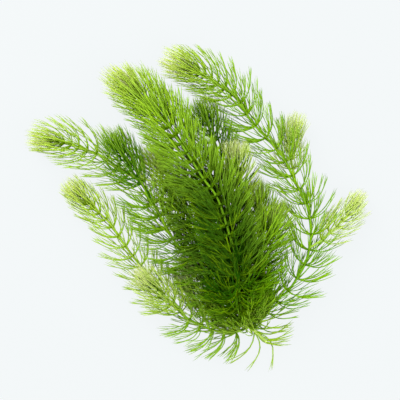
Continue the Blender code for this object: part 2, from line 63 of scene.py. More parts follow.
# Each shoot's CAD nodes and colour slot, how many leaves are added to each node, as a share of those
# of the CAD, how pale each node is, how pale the shoot's tip is, how far its leaves bow, as a share of
# their length, how thick they are, how much wider the added ones open, in radians, over how many
# millimetres from the stem's start fewer leaves are added, and the stem's route in millimetres from
# the foot.
shoots = {
    "front": {
        "nodes": ("main_stem", "front_shoot"),
        "slot": "mid_green",
        "fill": (6.5, 3.0),
        "pale": (0.0, 0.32),
        "tipPale": 1.0,
        "bow": (0.22, 0.11),
        "girth": 0.92,
        "splay": (0.35, -0.35),
        "bare": 28.0,
        "route": (
            (9.0, -8.5, 1.3), (2.5, -2.5, 1.6), (-2.5, 2.5, 4), (-7.5, 10.0, 9),
            (-10.0, 23.0, 17), (-10.5, 34.0, 22), (-12.5, 49.0, 27), (-17.5, 67.5, 31),
            (-25.0, 90.0, 34), (-34.5, 103.5, 35), (-48.0, 124.5, 34), (-60.5, 142.0, 31),
            (-70.5, 153.0, 27), (-81.5, 162.5, 23),
        ),
    },
    "right": {
        "nodes": ("right_stem", "right_arch_shoot"),
        "slot": "mid_green",
        "fill": (0.5, 0.55),
        "pale": (0.15, 0.3),
        "tipPale": 1.0,
        "bow": (0.14, 0.12),
        "girth": 0.88,
        "splay": (0.0, -0.1),
        "bare": 16.0,
        "route": (
            (-1.0, 2.0, 3.5), (5.5, 9.0, 8), (15.0, 20.5, 12), (23.0, 27.0, 14), (29.0, 35.5, 15),
            (34.5, 45.5, 16), (37.5, 56.5, 16.5), (38.5, 68.5, 17), (37.0, 80.5, 17),
            (34.0, 91.0, 17), (28.0, 101.5, 17), (19.5, 118.5, 17), (9.5, 130.0, 17),
            (-2.0, 143.0, 17), (-13.0, 159.0, 16), (-28.0, 170.5, 14.5), (-43.0, 178.0, 13),
        ),
    },
    "left": {
        "nodes": ("left_stem", "left_long_shoot"),
        "slot": "mid_green",
        "fill": (2.3, 0.0),
        "pale": (0.25, 0.6),
        "tipPale": 1.0,
        "bow": (0.13, 0.14),
        "girth": 0.88,
        "splay": (0.0, -0.2),
        "bare": 16.0,
        "route": (
            (-7.5, 10.0, 9), (-19.5, 23.0, 13), (-30.0, 34.0, 16), (-37.5, 43.0, 17.5),
            (-43.0, 50.0, 18), (-51.0, 57.0, 18), (-58.0, 68.0, 18), (-70.0, 89.5, 17),
            (-76.5, 100.5, 16), (-90.0, 109.5, 15), (-103.5, 119.0, 14), (-116.5, 124.0, 13),
            (-127.5, 128.0, 12), (-137.5, 129.5, 11.5),
        ),
    },
    "leftInner": {
        "nodes": ("left_inner_shoot",),
        "slot": "deep_green",
        "fill": (0.3,),
        "pale": (0.0,),
        "tipPale": 1.0,
        "bow": (0.15,),
        "girth": 0.88,
        "splay": (-0.2,),
        "bare": 8.0,
        "route": (
            (-70.0, 89.5, 17), (-75.5, 99.0, 22), (-82.5, 108.5, 26), (-87.5, 117.0, 28),
            (-92.5, 124.0, 28),
        ),
    },
    "lowLeft": {
        "nodes": ("low_left_stem", "low_left_shoot"),
        "slot": "mid_green",
        "fill": (0.7, 0.0),
        "pale": (0.45, 0.85),
        "tipPale": 1.0,
        "bow": (0.15, 0.13),
        "girth": 0.86,
        "splay": (0.2, -0.2),
        "bare": 9.0,
        "route": (
            (-2.5, 2.5, 4), (-9.5, -0.5, 5.5), (-18.0, -1.5, 7), (-30.5, 1.0, 8.5),
            (-46.5, 9.0, 10), (-52.0, 15.0, 10.5), (-62.0, 24.0, 10.5), (-70.5, 34.0, 10.5),
            (-77.0, 43.5, 10.5), (-86.5, 56.0, 11), (-92.0, 64.0, 11), (-98.5, 73.5, 11),
            (-107.0, 81.5, 11), (-118.5, 92.0, 11),
        ),
    },
    "lowLeftSide": {
        "nodes": ("low_left_side_shoot",),
        "slot": "young_green",
        "fill": (0.4,),
        "pale": (0.35,),
        "tipPale": 1.0,
        "bow": (0.14,),
        "girth": 0.8,
        "splay": (0.1,),
        "bare": 6.0,
        "route": (
            (-46.5, 9.0, 10), (-50.5, 15.5, 15), (-57.0, 21.0, 19), (-64.0, 26.5, 21),
            (-70.5, 32.5, 21),
        ),
    },
    "rightSide": {
        "nodes": ("right_side_shoot",),
        "slot": "young_green",
        "fill": (0.2,),
        "pale": (0.85,),
        "tipPale": 1.0,
        "bow": (0.14,),
        "girth": 0.76,
        "splay": (-0.2,),
        "bare": 6.0,
        "route": (
            (37.5, 56.5, 16.5), (45.5, 61.5, 16), (51.0, 66.5, 15.5), (56.5, 71.5, 15),
            (62.0, 77.0, 14), (66.0, 82.5, 13),
        ),
    },
    "backCentre": {
        "nodes": ("back_centre_shoot",),
        "slot": "deep_green",
        "fill": (1.4,),
        "pale": (0.1,),
        "tipPale": 1.0,
        "bow": (0.15,),
        "girth": 0.88,
        "splay": (0.0,),
        "bare": 8.0,
        "route": (
            (-9.0, 16.0, 13), (-12.5, 25.0, 10), (-14.0, 40.0, 9), (-14.5, 56.0, 9),
            (-15.5, 72.0, 10), (-20.5, 106.0, 11), (-28.0, 130.0, 12.5), (-33.5, 146.0, 14),
        ),
    },
    "centre": {
        "nodes": ("centre_shoot",),
        "slot": "young_green",
        "fill": (0.7,),
        "pale": (0.3,),
        "tipPale": 0.9,
        "bow": (0.13,),
        "girth": 0.85,
        "splay": (-0.1,),
        "bare": 6.0,
        "route": (
            (-15.5, 72.0, 10), (-12.0, 84.0, 14), (-11.5, 98.0, 18), (-12.5, 110.0, 22),
            (-13.0, 119.5, 24),
        ),
    },
    "backRight": {
        "nodes": ("back_right_shoot",),
        "slot": "young_green",
        "fill": (0.9,),
        "pale": (0.6,),
        "tipPale": 0.7,
        "bow": (0.14,),
        "girth": 0.7,
        "splay": (0.45,),
        "bare": 6.0,
        "route": (
            (28.0, 101.5, 17), (27.0, 108.0, 13.5), (25.0, 117.0, 11), (24.5, 126.0, 10.5),
            (27.0, 135.0, 11),
        ),
    },
    "rightInner": {
        "nodes": ("right_inner_shoot",),
        "slot": "mid_green",
        "fill": (0.5,),
        "pale": (0.0,),
        "tipPale": 0.35,
        "bow": (0.14,),
        "girth": 0.82,
        "splay": (0.0,),
        "bare": 8.0,
        "route": (
            (5.5, 9.0, 8), (5.5, 28.0, 10), (5.0, 46.0, 12), (4.5, 61.0, 13), (3.5, 75.0, 14),
            (2.5, 88.0, 14.5),
        ),
    },
    "rightCentre": {
        "nodes": ("right_centre_shoot",),
        "slot": "mid_green",
        "fill": (1.3,),
        "pale": (0.05,),
        "tipPale": 0.4,
        "bow": (0.13,),
        "girth": 0.88,
        "splay": (-0.15,),
        "bare": 8.0,
        "route": (
            (-10.3, 28.0, 19), (-3.5, 37.5, 22), (3.0, 49.5, 24), (8.0, 61.5, 24),
            (12.0, 73.5, 23),
        ),
    },
    "leftBack": {
        "nodes": ("left_back_shoot",),
        "slot": "mid_green",
        "fill": (3.2,),
        "pale": (0.45,),
        "tipPale": 0.45,
        "bow": (0.11,),
        "girth": 0.92,
        "splay": (0.2,),
        "bare": 8.0,
        "route": (
            (-10.5, 34.0, 22), (-17.5, 44.0, 21), (-28.5, 57.5, 20.5), (-40.0, 74.0, 20.5),
            (-52.5, 94.0, 20), (-64.0, 113.0, 19),
        ),
    },
    "smallLeft": {
        "nodes": ("small_left_shoot",),
        "slot": "young_green",
        "fill": (0.6,),
        "pale": (0.3,),
        "tipPale": 1.0,
        "bow": (0.14,),
        "girth": 0.85,
        "splay": (0.0,),
        "bare": 6.0,
        "route": ((-19.5, 23.0, 13), (-29.0, 28.5, 10), (-38.0, 35.5, 9), (-45.5, 43.0, 9)),
    },
    "smallLow": {
        "nodes": ("small_low_shoot",),
        "slot": "young_green",
        "fill": (0.6,),
        "pale": (0.2,),
        "tipPale": 0.5,
        "bow": (0.14,),
        "girth": 0.85,
        "splay": (0.1,),
        "bare": 6.0,
        "route": ((-30.5, 1.0, 8.5), (-34.5, 11.5, 12), (-39.5, 21.0, 13), (-45.5, 30.0, 13)),
    },
}


def unit(v):
    # v / |v|
    return v / np.maximum(np.linalg.norm(v, axis=-1, keepdims=True), 1e-12)


def smoothLine(route):
    # Catmull-Rom: b + u(c-a)/2 + u2(a-2.5b+2c-d/2) + u3(1.5(b-c)+(d-a)/2) between points b and c,
    # read at even steps of its length
    p = np.array(route, float)
    p = np.vstack([2 * p[0] - p[1], p, 2 * p[-1] - p[-2]])
    a, b, c, d = p[:-3, None], p[1:-2, None], p[2:-1, None], p[3:, None]
    u = np.linspace(0, 1, plant["pointsPerSpan"], endpoint=False)[None, :, None]
    curve = b + 0.5 * u * (c - a) + u**2 * (a - 2.5 * b + 2 * c - 0.5 * d)
    curve = curve + u**3 * (1.5 * (b - c) + 0.5 * (d - a))
    curve = np.vstack([curve.reshape(-1, 3), p[-2:-1]])
    along = np.concatenate([[0], np.cumsum(np.linalg.norm(np.diff(curve, axis=0), axis=1))])
    even = np.arange(0, along[-1], plant["step"])
    line = np.column_stack([np.interp(even, along, curve[:, k]) for k in range(3)])
    line[:, :2] += plant["foot"]
    return line * mm


def readLeaves(nodeName):
    # a leaf of the CAD is a spike: its tip is a corner where three edges meet, all of them long, and
    # its root is the middle of their other ends. Corners at one place, to a micron, are one.
    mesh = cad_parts[nodeName].data
    co = np.empty(len(mesh.vertices) * 3, np.float32)
    mesh.vertices.foreach_get("co", co)
    mesh.calc_loop_triangles()
    tri = np.empty(len(mesh.loop_triangles) * 3, np.int32)
    mesh.loop_triangles.foreach_get("vertices", tri)
    corners, index = np.unique(np.round(co.reshape(-1, 3), 6), axis=0, return_inverse=True)
    tri = index.reshape(-1)[tri].reshape(-1, 3)
    edges = np.vstack([tri[:, [0, 1]], tri[:, [1, 2]], tri[:, [2, 0]]])
    edges = np.unique(np.sort(edges, axis=1), axis=0)
    both = np.vstack([edges, edges[:, ::-1]])
    both = both[np.argsort(both[:, 0], kind="stable")]
    meeting = np.bincount(both[:, 0], minlength=len(corners))
    firsts = np.concatenate([[0], np.cumsum(meeting)[:-1]])
    tips = np.flatnonzero(meeting == 3)
    ends = both[firsts[tips, None] + np.arange(3), 1]
    shortest = np.linalg.norm(corners[ends] - corners[tips][:, None], axis=2).min(1)
    long = shortest > plant["shortestSpike"] * mm
    return corners[ends[long]].mean(1), corners[tips[long]]


def turnAbout(v, axis, angle):
    # Rodrigues: v cos a + (axis x v) sin a + axis (axis.v)(1 - cos a)
    cos, sin = np.cos(angle)[:, None], np.sin(angle)[:, None]
    return v * cos + np.cross(axis, v) * sin + axis * (axis * v).sum(1, keepdims=True) * (1 - cos)


def openBy(chord, axis, angle):
    # the leaf swings away from the stem's direction, about the line square to both
    return turnAbout(chord, unit(np.cross(axis, chord)), angle)


# The leaves are painted darker in a long patch round the lower stems: painted shade where the
# plant lies thickest. Millimetres.
heart = {
    "middle": (10.0, -23.0), "along": (-0.31, 0.95), "length": 54.0, "width": 33.0,
    "least": 0.97,  # its shade where no leaf lies above
    "fuller": 1.5,  # how much likelier leaves are added there, as a share
    "wider": 0.6,  # how much wider the added leaves open there, in radians
}

# the leaves and stems near the foot are pale, and thicker by this share
footPatch = {"pale": 0.85, "reach": 16.0, "thicker": 0.4}


def footShare(points):
    # pale exp(-(distance to the foot / reach)2)
    distance = np.linalg.norm(points[..., :2] / mm - plant["foot"], axis=-1)
    return footPatch["pale"] * np.exp(-((distance / footPatch["reach"]) ** 2))


def heartShare(points):
    # exp(-r4) (1 - the foot's share), where r2 = (a/length)2 + (b/width)2, and a and b run along and
    # across the heart
    way = points[..., :2] / mm - heart["middle"]
    along = way @ np.array(heart["along"])
    across = way @ np.array((heart["along"][1], -heart["along"][0]))
    share = np.exp(-(((along / heart["length"]) ** 2 + (across / heart["width"]) ** 2) ** 2))
    return share * (1 - footShare(points))


# The leaves added beside those of the CAD. Angles are in radians and reaches in millimetres.
added = {
    "turn": (0.16, 0.48),  # about the stem, away from the leaf that it copies
    "length": (0.75, 1.08),  # share of that leaf's length
    "opening": (0.4, 1.0),  # share of the splay, and of the heart's wider, that it opens by
    "sway": 0.15,  # it also leans to or from the shoot's tip by this at most
    "closedLonger": 0.6,  # share by which a leaf that closes by a radian is longer
    "fewest": 0.05,  # how likely it is at the stem's start, against further up, before squaring
    "tipReach": 35.0, "tipLeast": 0.4,  # over this reach of the tip it is less likely, down to this
    "highest": 1.0,  # none is added higher up the stem's side than this, straight up being 1
    "heartLower": 0.35,  # and in the heart this much lower
    "heartAt": 0.6,  # where along a leaf it is seen whether it lies in the heart
}

# The thin leaves that close round a shoot's tip. Their bases are painted dark, as the shade in the
# crowded core. Millimetres.
bud = {
    "leaves": 90, "length": 9.0,
    "turn": 6.28,  # about the stem, in radians
    "shortest": 0.4, "longest": 0.95,  # shares of the length of the leaf that it copies
    "closing": 0.8,  # share of its angle to the stem that it closes by at most
    "coreLength": 11.0,
    "coreShade": 0.95, "coreAlong": (0.05, 0.46),  # the core's shade ends over this share of a leaf
}


def turnLeaves(shoot, root, tip, at, angle):
    # the new roots and the chords, both turned about the stem by the angle, and the stem's direction
    centre, axis = shoot["line"][at], shoot["tangent"][at]
    return centre + turnAbout(root - centre, axis, angle), turnAbout(tip - root, axis, angle), axis


def addedLeaves(shoot, root, tip, at, fill, splay, chance):
    # Copies of leaves of the CAD. How likely one is copied is (distance from the stem's start / bare)2
    # times distance from the tip / tipReach, both between their least and 1, times 1 + fuller * the
    # heart's share. It opens by (splay + wider * the heart's share) * opening + sway.
    height = unit(root - shoot["line"][at])[:, 2]
    isLow = height < added["highest"] - added["heartLower"] * heartShare(root)
    likely = np.clip(at * plant["step"] / shoot["bare"], added["fewest"], 1) ** 2 * isLow
    likely = likely * np.clip(shoot["fromTip"][at] / added["tipReach"], added["tipLeast"], 1)
    likely = likely * (1 + heart["fuller"] * heartShare(root + (tip - root) * added["heartAt"]))
    pick = chance.choice(len(root), size=int(len(root) * fill), p=likely / likely.sum())
    n = len(pick)
    angle = chance.uniform(*added["turn"], n) * chance.choice([-1, 1], n)
    newRoot, chord, axis = turnLeaves(shoot, root[pick], tip[pick], at[pick], angle)
    wider = splay + heart["wider"] * heartShare(root[pick])
    opening = wider * chance.uniform(*added["opening"], n)
    opening = opening + chance.uniform(-added["sway"], added["sway"], n)
    chord = openBy(chord, axis, opening)
    chord = chord * (1 + added["closedLonger"] * np.maximum(-opening, 0))[:, None]
    return pick, newRoot, newRoot + chord * chance.uniform(*added["length"], n)[:, None]


def budLeaves(shoot, root, tip, at, chance):
    # copies of the leaves nearest the tip, turned anywhere about the stem and closed by a random
    # share of their angle to it, up to closing
    young = np.flatnonzero(shoot["fromTip"][at] < bud["length"])
    if not len(young):
        return young, root[young], tip[young]
    n = bud["leaves"]
    pick = young[chance.integers(len(young), size=n)]
    angle = chance.uniform(0, bud["turn"], n)
    newRoot, chord, axis = turnLeaves(shoot, root[pick], tip[pick], at[pick], angle)
    lean = np.arccos(np.clip((unit(chord) * axis).sum(1), -1, 1))
    chord = openBy(chord, axis, -lean * chance.uniform(0, bud["closing"], n))
    return pick, newRoot, newRoot + chord * chance.uniform(bud["shortest"], bud["longest"], n)[:, None]


def gatherLeaves(shoot, chance):
    # the leaves of one shoot, node by node: those of the CAD, those added beside them, and those of
    # the bud. The core, the share of the core's painted shade, is exp(-(distance from the tip /
    # coreLength)2).
    line = smoothLine(shoot["route"])
    fromTip = (len(line) - 1 - np.arange(len(line))) * plant["step"]
    shoot.update(line=line, tangent=unit(np.gradient(line, axis=0)), fromTip=fromTip, leaves=[])
    for node, fill, splay in zip(shoot["nodes"], shoot["fill"], shoot["splay"]):
        root, tip = readLeaves(node)
        at = np.linalg.norm(root[:, None] - line[None], axis=2).argmin(1)
        pick, newRoot, newTip = addedLeaves(shoot, root, tip, at, fill, splay, chance)
        inner, innerRoot, innerTip = budLeaves(shoot, root, tip, at, chance)
        everyAt = np.concatenate([at, at[pick], at[inner]])
        inBud = np.concatenate([np.zeros(len(at) + len(pick)), np.ones(len(inner))])
        shoot["leaves"].append({
            "root": np.vstack([root, newRoot, innerRoot]),
            "tip": np.vstack([tip, newTip, innerTip]),
            "at": everyAt,
            "bud": inBud,
            "budPale": inBud * shoot["tipPale"],
            "core": np.exp(-((fromTip[everyAt] / bud["coreLength"]) ** 2)),
            "whorls": np.unique(at),
        })


# Leaves are painted darker under others, as shade, and that painted shade is lessened near the
# table, as its light from below.
cover = {
    "cell": 4.0,  # millimetres
    "deep": 6.0,  # so many points of leaves above give the full shade in the heart
    "thick": 14.0, "most": 0.2,  # so many give this much more shade anywhere
    "lit": 0.6, "litHeight": 8.0,  # share of the shade that the table takes away, and millimetres
}


def leavesAbove(points):
    # the points are counted in cells, blurred sideways by [1 2 1]/4 twice, and summed over the cells
    # above, with half of their own cell
    cell = cover["cell"] * mm
    margin = 3 * cell  # room for the blur
    low = points.min(0) - margin
    size = np.ceil((points.max(0) + margin - low) / cell).astype(int)
    place = ((points - low) / cell).astype(int)
    count = np.zeros(size)
    np.add.at(count, tuple(place.T), 1)
    for axis in (0, 1, 0, 1):
        count = (np.roll(count, 1, axis) + 2 * count + np.roll(count, -1, axis)) / 4
    above = np.cumsum(count[:, :, ::-1], axis=2)[:, :, ::-1] - 0.5 * count
    return above[tuple(place.T)]


def leafShade(points):
    # (heart (least + (1-least) above/deep) + most above/thick) (1 - lit exp(-height/litHeight))
    above = leavesAbove(points)
    inHeart = heart["least"] + (1 - heart["least"]) * np.clip(above / cover["deep"], 0, 1)
    shade = heartShare(points) * inHeart + cover["most"] * np.clip(above / cover["thick"], 0, 1)
    shade = np.clip(shade, 0, 1)
    return shade * (1 - cover["lit"] * np.exp(-points[:, 2] / mm / cover["litHeight"]))


def makeMesh(name, points, quads, triangles, attributes):
    # one piece from whole arrays: the quads first, then the triangles
    mesh = bpy.data.meshes.new(name)
    loops = np.concatenate([quads.ravel(), triangles.ravel()]).astype(np.int32)
    starts = np.concatenate([np.arange(len(quads)) * 4, len(quads) * 4 + np.arange(len(triangles)) * 3])
    mesh.vertices.add(len(points))
    mesh.vertices.foreach_set("co", points.astype(np.float32).ravel())
    mesh.loops.add(len(loops))
    mesh.loops.foreach_set("vertex_index", loops)
    mesh.polygons.add(len(starts))
    mesh.polygons.foreach_set("loop_start", starts.astype(np.int32))
    mesh.update(calc_edges=True)
    for attributeName, values in attributes.items():
        attribute = mesh.attributes.new(attributeName, "FLOAT", "POINT")
        attribute.data.foreach_set("value", values.astype(np.float32).ravel())
    mesh.shade_smooth()
    piece = bpy.data.objects.new(name, mesh)
    bpy.context.scene.collection.objects.link(piece)
    return piece


# A leaf. Forks, rings, spreads and reaches are shares of its length, and widths are half widths in
# millimetres. A strand has a sign at each fork and its own rings.
leaf = {
    "forks": (0.36, 0.66),
    "spreads": (0.095, 0.045),
    "forkLean": 0.35,  # how far the first fork turns out of the whorl at most, in radians
    "forkTurn": (0.5, 2.2),  # from the first fork to the second, in radians
    "skew": 0.38,  # how much nearer its base it bows
    "bowRange": (0.75, 1.25),
    "endRange": (0.9, 1.0),  # where its strands end
    "usualLength": 22.0,  # a leaf this long, in millimetres, has the full width
    "lengthGirth": (0.55, 1.1),  # the shares of it that the shortest and the longest have
    "girthRange": (0.88, 1.1),
    "baseWidth": 0.60,
    "strandWidth": 0.49,
    "widthReach": 0.09,
    "flatness": 0.9,
    "youngWidth": 0.74,  # shares of the width of a grown leaf
    "budWidth": 0.58,
    "thinning": (0.6, 0.2),  # a grown leaf's end is thinner by the first, and a young one's by both
    "margin": 0.7,  # to the box of the CAD, in millimetres
    "youngReach": 15.0,  # from the shoot's tip, in millimetres
    # the base is paler: partly its own colour, partly painted light against the shade at the whorl
    "basePaleAndLight": 0.6,
    "endPale": 0.45,
    "paleReach": 0.10,
    "shadedBase": 0.5,  # the base is less pale by this share of its shade
    "litBase": 0.5,  # and less shaded by this
    "strands": (
        (1, 1, (0.0, 0.06, 0.18, 0.32, 0.48, 0.66, 0.84)),
        (-1, 1, (0.32, 0.46, 0.64, 0.84)),
        (1, -1, (0.62, 0.82)),
    ),
}


def growLeaves(name, leaves, towards, girth, bow, youth, pale, shade, chance):
    # line(t) = root + t (tip - root) + 4t(1-t)(1+skew(1-2t)) bow away + the fork spreads, where one is
    # sign * spread * length * u(4-u)/3 with u the share of the way from its fork to the tip
    # half width(t) = (strandWidth + (baseWidth-strandWidth) exp(-t/widthReach)) (1-thinning t), times
    # the shares for the leaf's length, girth, youth and bud, and for how near the foot it is
    # youth(t) = y + (1-y) max(pale (1-(1-endPale)t), basePaleAndLight (1-shadedBase shade)
    # exp(-t/paleReach)), where pale is at least the foot's share. The paler base is partly the
    # leaf's own colour and partly painted light that offsets the shade at the whorl.
    # shade(t) = its three shades, joined by straight lines, times 1 - litBase exp(-t/paleReach)
    # Each strand is a flat four-sided tube round its line which ends in a point.
    roots, tips = leaves["root"], leaves["tip"]
    n = len(roots)
    chord = tips - roots
    length = np.linalg.norm(chord, axis=1)
    forward = unit(chord)
    away = unit((towards * forward).sum(1, keepdims=True) * forward - towards)
    across = np.cross(forward, away)
    lean = chance.uniform(-leaf["forkLean"], leaf["forkLean"], n)
    firstSide = np.cos(lean)[:, None] * across + np.sin(lean)[:, None] * away
    lean = lean + chance.uniform(*leaf["forkTurn"], n)
    secondSide = np.cos(lean)[:, None] * across + np.sin(lean)[:, None] * away
    bow = bow * length * chance.uniform(*leaf["bowRange"], n)
    scale = np.clip(length / (leaf["usualLength"] * mm), *leaf["lengthGirth"])
    scale = scale * chance.uniform(*leaf["girthRange"], n)
    scale = scale * girth * (1 + (leaf["youngWidth"] - 1) * youth)
    scale = scale * (1 + (leaf["budWidth"] - 1) * leaves["bud"])
    scale = scale * (1 + footPatch["thicker"] * footShare(roots))
    grownThinning, youngThinning = leaf["thinning"]
    thinning = (grownThinning + youngThinning * youth)[:, None]
    low = np.array(cadBox[0]) + leaf["margin"] * mm
    high = np.array(cadBox[1]) - leaf["margin"] * mm
    points, alongs, quads, triangles, count = [], [], [], [], 0
    angles = np.arange(4) * np.pi / 2
    for firstSign, secondSign, rings in leaf["strands"]:
        k = len(rings)
        t = np.array([*rings, 1.0])[None] * np.ones((n, 1))
        t[:, -1] = chance.uniform(*leaf["endRange"], n)
        line = roots[:, None] + t[..., None] * chord[:, None]
        sag = 4 * t * (1 - t) * (1 + leaf["skew"] * (1 - 2 * t)) * bow[:, None]
        line = line + sag[..., None] * away[:, None]
        for fork, spread, sign, side in zip(
            leaf["forks"], leaf["spreads"], (firstSign, secondSign), (firstSide, secondSide)
        ):
            u = np.clip((t - fork) / (1 - fork), 0, 1)
            line = line + (sign * spread * length[:, None] * u * (4 - u) / 3)[..., None] * side[:, None]
        line = np.clip(line, low, high)
        wider = (leaf["baseWidth"] - leaf["strandWidth"]) * np.exp(-t / leaf["widthReach"])
        radius = (leaf["strandWidth"] + wider) * scale[:, None] * (1 - thinning * t) * mm
        flat = radius * leaf["flatness"]
        sideways = (radius[:, :k, None] * np.cos(angles))[..., None] * across[:, None, None]
        upwards = (flat[:, :k, None] * np.sin(angles))[..., None] * away[:, None, None]
        ring = line[:, :k, None] + sideways + upwards
        points.append(np.concatenate([ring.reshape(n, -1, 3), line[:, -1:]], axis=1))
        alongs.append(np.concatenate([np.repeat(t[:, :k], 4, axis=1), t[:, -1:]], axis=1))
        grid = count + np.arange(k * 4).reshape(k, 4)
        after = np.roll(grid, -1, axis=1)
        quads.append(np.stack([grid[:-1], after[:-1], after[1:], grid[1:]], axis=-1).reshape(-1, 4))
        quads.append(grid[0, ::-1][None])
        triangles.append(np.stack([grid[-1], after[-1], np.full(4, count + 4 * k)], axis=-1))
        count += 4 * k + 1
    points, alongs = np.concatenate(points, axis=1), np.concatenate(alongs, axis=1)
    offsets = np.arange(n)[:, None, None] * count
    quads = (np.vstack(quads)[None] + offsets).reshape(-1, 4)
    triangles = (np.vstack(triangles)[None] + offsets).reshape(-1, 3)
    stations = np.clip(alongs * 2, 0, 2)
    shadeAlong = np.where(
        stations < 1,
        shade[:, :1] + (shade[:, 1:2] - shade[:, :1]) * stations,
        shade[:, 1:2] + (shade[:, 2:] - shade[:, 1:2]) * (stations - 1),
    )
    atBase = np.exp(-alongs / leaf["paleReach"])
    # painted light in part: the base is paler to offset the shade at the whorl
    paleAndLitBase = leaf["basePaleAndLight"] * (1 - leaf["shadedBase"] * shade[:, :1]) * atBase
    pale = np.maximum(pale, footShare(roots))[:, None]
    paleAlong = np.maximum(pale * (1 - (1 - leaf["endPale"]) * alongs), paleAndLitBase)
    shadeAlong = shadeAlong * (1 - leaf["litBase"] * atBase)
    attributes = {
        "along": alongs,
        "youth": youth[:, None] + (1 - youth[:, None]) * paleAlong,
        "tone": np.repeat(chance.uniform(0, 1, n), count),
        "shade": shadeAlong,
        "bud": np.repeat(leaves["budPale"], count),
        "core": np.repeat(leaves["core"], count),
    }
    return makeMesh(name, points.reshape(-1, 3), quads, triangles, attributes)


# A stem. Lengths are in millimetres, and the swelling and the ribs are shares of its radius.
stemShape = {
    "radius": 0.78, "budRadius": 0.45, "taper": 30.0,
    "knotReach": 0.9, "swelling": 0.28,
    "sides": 12, "ribs": 6, "ribHeight": 0.05,
    "footEnd": 0.05, "budEnd": 0.6,  # how far the point at each end stands out
    "lowest": 0.05,  # above the table
    "cutReach": 1.2,  # the pith shows at the cut, over this length
    "pith": 0.35, "pithReach": 14.0,  # and faintly over this one
    "youngReach": 22.0,  # from the shoot's tip
}


def growStem(name, line, alongs, fromTip, whorls, pale, isCut):
    # A ribbed tube. Its radius runs from budRadius to radius over the taper, times 1 + swelling knot
    # with knot = exp(-(distance to the nearest whorl / knotReach)2), times 1 + thicker * the foot's
    # share, times 1 + ribHeight cos(ribs * angle) (1-knot).
    # youth = pale + (1-pale) max(exp(-distance from the tip / youngReach), the foot's share)
    sides = stemShape["sides"]
    tangent = unit(np.gradient(line, axis=0))
    side = unit(np.cross(tangent, (0, 0, 1)))
    third = np.cross(tangent, side)
    share = np.clip(fromTip / stemShape["taper"], 0, 1)
    radius = stemShape["budRadius"] + (stemShape["radius"] - stemShape["budRadius"]) * share
    nearest = np.abs(alongs[:, None] - whorls[None]).min(1)
    knot = np.exp(-((nearest / stemShape["knotReach"]) ** 2))
    radius = radius * (1 + stemShape["swelling"] * knot) * (1 + footPatch["thicker"] * footShare(line))
    angles = np.arange(sides) * 2 * np.pi / sides
    ribs = stemShape["ribHeight"] * np.cos(stemShape["ribs"] * angles)[None] * (1 - knot)[:, None]
    outward = np.cos(angles)[:, None] * side[:, None] + np.sin(angles)[:, None] * third[:, None]
    ring = line[:, None] + (radius[:, None] * (1 + ribs) * mm)[..., None] * outward
    k = len(line)
    footEnd = line[:1] - tangent[:1] * stemShape["footEnd"] * mm
    budEnd = line[-1:] + tangent[-1:] * stemShape["budEnd"] * mm
    points = np.vstack([ring.reshape(-1, 3), footEnd, budEnd])
    points[:, 2] = np.maximum(points[:, 2], stemShape["lowest"] * mm)
    grid = np.arange(k * sides).reshape(k, sides)
    after = np.roll(grid, -1, axis=1)
    quads = np.stack([grid[:-1], after[:-1], after[1:], grid[1:]], axis=-1).reshape(-1, 4)
    start = np.stack([after[0], grid[0], np.full(sides, k * sides)], axis=-1)
    end = np.stack([grid[-1], after[-1], np.full(sides, k * sides + 1)], axis=-1)
    faint = stemShape["pith"] * (alongs < stemShape["pithReach"])
    cut = np.clip(1 - alongs / stemShape["cutReach"], faint, 1) if isCut else np.zeros(k)
    young = np.maximum(np.exp(-fromTip / stemShape["youngReach"]), footShare(line))
    values = {"youth": pale + (1 - pale) * young, "knot": knot, "cut": cut, "shade": heartShare(line)}
    attributes = {
        key: np.concatenate([np.repeat(value, sides), value[:1], value[-1:]])
        for key, value in values.items()
    }
    return makeMesh(name, points, quads, np.vstack([start, end]), attributes)


def addSocket(tree, name, inOut, kind, default=None):
    socket = tree.interface.new_socket(name=name, in_out=inOut, socket_type=kind)
    if default is not None:
        socket.default_value = default


def connect(tree, value, socket):
    # a link where the value is a socket, or else the value itself
    if isinstance(value, bpy.types.NodeSocket):
        tree.links.new(value, socket)
    else:
        socket.default_value = value


def mixColours(tree, factor, first, second):
    node = tree.nodes.new("ShaderNodeMix")
    node.data_type = "RGBA"
    connect(tree, factor, node.inputs[0])
    connect(tree, first, node.inputs[6])
    connect(tree, second, node.inputs[7])
    return node.outputs[2]


def multiplyColours(tree, first, second):
    colour = mixColours(tree, 1.0, first, second)
    colour.node.blend_type = "MULTIPLY"
    return colour


def reckon(tree, operation, first, second):
    # held between 0 and 1
    node = tree.nodes.new("ShaderNodeMath")
    node.operation = operation
    node.use_clamp = True
    connect(tree, first, node.inputs[0])
    connect(tree, second, node.inputs[1])
    return node.outputs[0]


def remap(tree, value, low, high, newLow=0.0, newHigh=1.0):
    # the value's way from low to high, taken from newLow to newHigh
    node = tree.nodes.new("ShaderNodeMapRange")
    connect(tree, value, node.inputs["Value"])
    for name, number in (("From Min", low), ("From Max", high), ("To Min", newLow), ("To Max", newHigh)):
        node.inputs[name].default_value = number
    return node.outputs["Result"]


def noise(tree, scale):
    # in the plant's own coordinates
    place, node = tree.nodes.new("ShaderNodeTexCoord"), tree.nodes.new("ShaderNodeTexNoise")
    node.inputs["Scale"].default_value = scale
    tree.links.new(place.outputs["Object"], node.inputs["Vector"])
    return node.outputs["Fac"]


# The look that leaves and stems share. Scales are those of the noise.
skin = {
    "blotches": 90, "blotchDark": 0.3,
    "flecks": 2400, "fleckRange": (0.55, 0.75), "fleckPale": 0.15,
    "lightTones": 0.3, "lighter": 0.45,  # leaves of a tone under the first are lighter, by the second
    "budAlong": (0.15, 0.7),  # where a leaf of the bud turns pale
    "roughness": (0.3, 0.55),
    "bump": 0.25, "bumpDistance": 0.0001,  # metres
    "gloss": 0.03,
}


